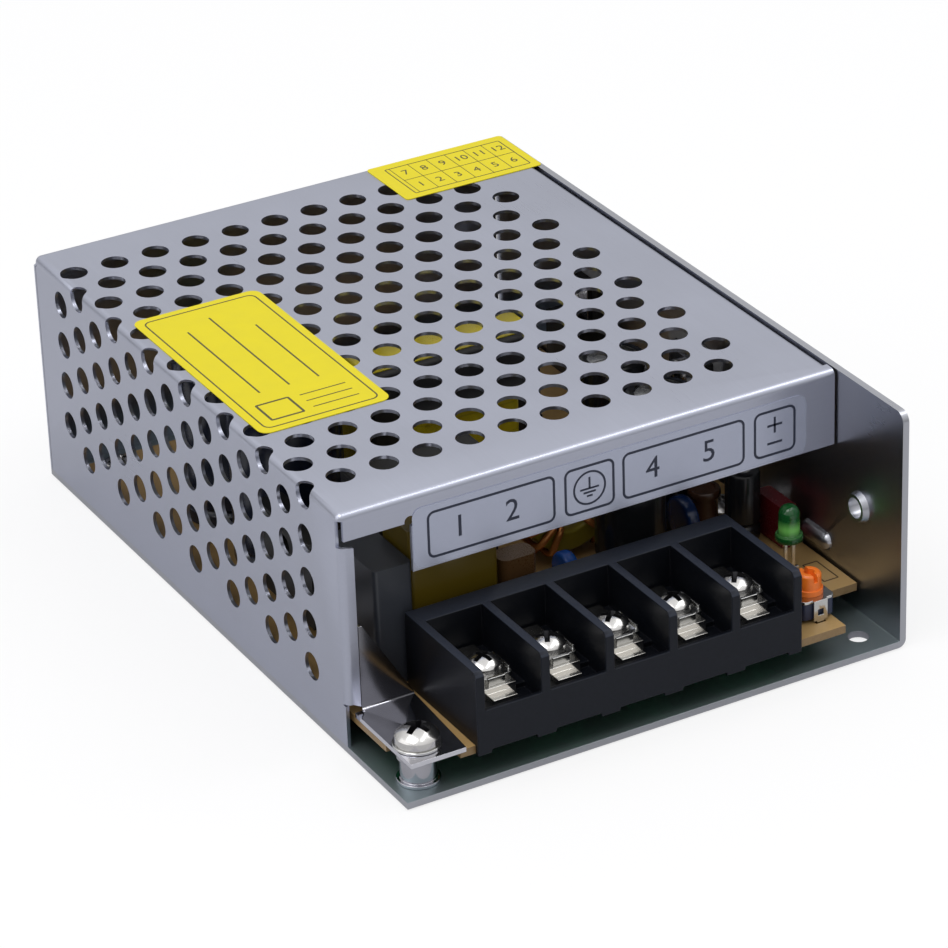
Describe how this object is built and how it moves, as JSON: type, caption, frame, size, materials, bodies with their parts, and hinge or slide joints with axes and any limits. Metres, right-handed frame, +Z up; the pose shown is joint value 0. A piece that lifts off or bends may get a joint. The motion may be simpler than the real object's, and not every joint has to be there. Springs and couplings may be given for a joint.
{
  "type": "switching power supply",
  "caption": "Switching power supply in a folded sheet metal base with a perforated cover, a screw terminal block, an indicator lamp and a voltage trimmer.",
  "frame": {"origin": "middle of the case bottom", "axes": "+X to the right seen from the terminal end, towards the folded wall; +Y from the terminal end to the back; +Z up"},
  "size_m": [0.078, 0.11, 0.0361],
  "materials": {
    "galvanized_sheet": "satin zinc-plated sheet",
    "cover_sheet": "satin zinc-plated sheet",
    "plated_screw": "bright nickel plate",
    "plated_washer": "bright nickel plate",
    "plated_contact": "tin plate",
    "standoff_steel": "zinc plate",
    "earth_steel": "bright zinc-plated strip",
    "board_laminate": "tan phenolic paper board, green below",
    "block_black": "black moulding, low sheen",
    "lamp_green": "tinted green epoxy",
    "lead_tin": "tinned wire",
    "trimmer_black": "dark moulding",
    "trimmer_metal": "tinned strip",
    "trimmer_orange": "orange moulding",
    "film_yellow": "yellow moulded case",
    "film_grey": "grey moulded case",
    "ferrite": "dark grey ferrite",
    "yellow_tape": "yellow polyester tape",
    "bobbin_black": "black phenolic",
    "fuse_glass": "clear glass",
    "fuse_metal": "nickel plate",
    "inrush_green": "dark green coating",
    "epoxy_black": "black moulding compound",
    "can_sleeve": "dark heat-shrink sleeve",
    "silicone_pad": "grey silicone",
    "spring_steel": "plain strip",
    "powder_core": "yellow and white coated iron powder",
    "enamel_wire": "clear enamel over copper",
    "disc_blue": "blue coating",
    "resistor_tan": "tan lacquer",
    "dipped_tan": "tan dipped coating",
    "sleeve_brown": "brown heat-shrink sleeve",
    "film_red": "dark red dipped coating",
    "label_yellow": "yellow printed film",
    "label_silver": "pale silver printed film"
  },
  "bodies": {
    "case": {"base_tray": "galvanized_sheet", "cover": "cover_sheet", "cover_screws": "plated_screw", "circuit_board": "board_laminate", "board_standoffs": "standoff_steel", "board_screws": "plated_screw", "earth_plate": "earth_steel", "earth_screw": "plated_screw", "earth_washer": "plated_washer", "terminal_housing": "block_black", "contact_plate_1": "plated_contact", "contact_plate_2": "plated_contact", "contact_plate_3": "plated_contact", "contact_plate_4": "plated_contact", "contact_plate_5": "plated_contact", "led_lamp": "lamp_green", "led_leads": "lead_tin", "trimmer_body": "trimmer_black", "trimmer_frame": "trimmer_metal", "yellow_capacitor": "film_yellow", "grey_capacitor": "film_grey", "filter_choke_core": "ferrite", "filter_choke_coil": "yellow_tape", "fuse_glass": "fuse_glass", "fuse_caps": "fuse_metal", "inrush_disc": "inrush_green", "bridge_rectifier": "epoxy_black", "bulk_capacitors": "can_sleeve", "transformer_core": "ferrite", "transformer_coil": "yellow_tape", "transformer_bobbin": "bobbin_black", "switching_transistor": "epoxy_black", "output_rectifier": "epoxy_black", "insulating_pads": "silicone_pad", "device_clips": "spring_steel", "clip_screws": "plated_screw", "output_capacitors": "can_sleeve", "inductor_core": "powder_core", "inductor_winding": "enamel_wire", "disc_capacitors": "disc_blue", "optocoupler": "epoxy_black", "resistors": "resistor_tan", "film_capacitor": "film_red", "small_capacitor": "can_sleeve", "tan_capacitor": "dipped_tan", "drum_choke": "sleeve_brown", "top_label": "label_yellow", "corner_label": "label_yellow", "terminal_label": "label_silver"},
    "clamp_1": {"clamp_plate_1": "plated_washer"},
    "screw_1": {"terminal_screw_1": "plated_screw"},
    "clamp_2": {"clamp_plate_2": "plated_washer"},
    "screw_2": {"terminal_screw_2": "plated_screw"},
    "clamp_3": {"clamp_plate_3": "plated_washer"},
    "screw_3": {"terminal_screw_3": "plated_screw"},
    "clamp_4": {"clamp_plate_4": "plated_washer"},
    "screw_4": {"terminal_screw_4": "plated_screw"},
    "clamp_5": {"clamp_plate_5": "plated_washer"},
    "screw_5": {"terminal_screw_5": "plated_screw"},
    "adjuster": {"trimmer_rotor": "trimmer_orange"}
  },
  "joints": [
    {"name": "clamp_1_lift", "type": "slide", "parent": "case", "child": "clamp_1", "axis": [0, 0, 1], "range_m": [0, 0.002]},
    {"name": "screw_1_turn", "type": "hinge", "parent": "clamp_1", "child": "screw_1", "pos_m": [-0.0226, -0.0466, 0.0121], "axis": [0, 0, 1], "range_deg": [0, 1440]},
    {"name": "clamp_2_lift", "type": "slide", "parent": "case", "child": "clamp_2", "axis": [0, 0, 1], "range_m": [0, 0.002]},
    {"name": "screw_2_turn", "type": "hinge", "parent": "clamp_2", "child": "screw_2", "pos_m": [-0.0128, -0.0466, 0.0121], "axis": [0, 0, 1], "range_deg": [0, 1440]},
    {"name": "clamp_3_lift", "type": "slide", "parent": "case", "child": "clamp_3", "axis": [0, 0, 1], "range_m": [0, 0.002]},
    {"name": "screw_3_turn", "type": "hinge", "parent": "clamp_3", "child": "screw_3", "pos_m": [-0.003, -0.0466, 0.0121], "axis": [0, 0, 1], "range_deg": [0, 1440]},
    {"name": "clamp_4_lift", "type": "slide", "parent": "case", "child": "clamp_4", "axis": [0, 0, 1], "range_m": [0, 0.002]},
    {"name": "screw_4_turn", "type": "hinge", "parent": "clamp_4", "child": "screw_4", "pos_m": [0.0068, -0.0466, 0.0121], "axis": [0, 0, 1], "range_deg": [0, 1440]},
    {"name": "clamp_5_lift", "type": "slide", "parent": "case", "child": "clamp_5", "axis": [0, 0, 1], "range_m": [0, 0.002]},
    {"name": "screw_5_turn", "type": "hinge", "parent": "clamp_5", "child": "screw_5", "pos_m": [0.0166, -0.0466, 0.0121], "axis": [0, 0, 1], "range_deg": [0, 1440]},
    {"name": "trimmer_turn", "type": "hinge", "parent": "case", "child": "adjuster", "pos_m": [0.0275, -0.0483, 0.009], "axis": [0, 0, 1], "range_deg": [-105, 105]}
  ],
  "couplings": [
    {"joint": "screw_1_turn", "follows": "clamp_1_lift", "rad_per_m": 12566},
    {"joint": "screw_2_turn", "follows": "clamp_2_lift", "rad_per_m": 12566},
    {"joint": "screw_3_turn", "follows": "clamp_3_lift", "rad_per_m": 12566},
    {"joint": "screw_4_turn", "follows": "clamp_4_lift", "rad_per_m": 12566},
    {"joint": "screw_5_turn", "follows": "clamp_5_lift", "rad_per_m": 12566}
  ]
}
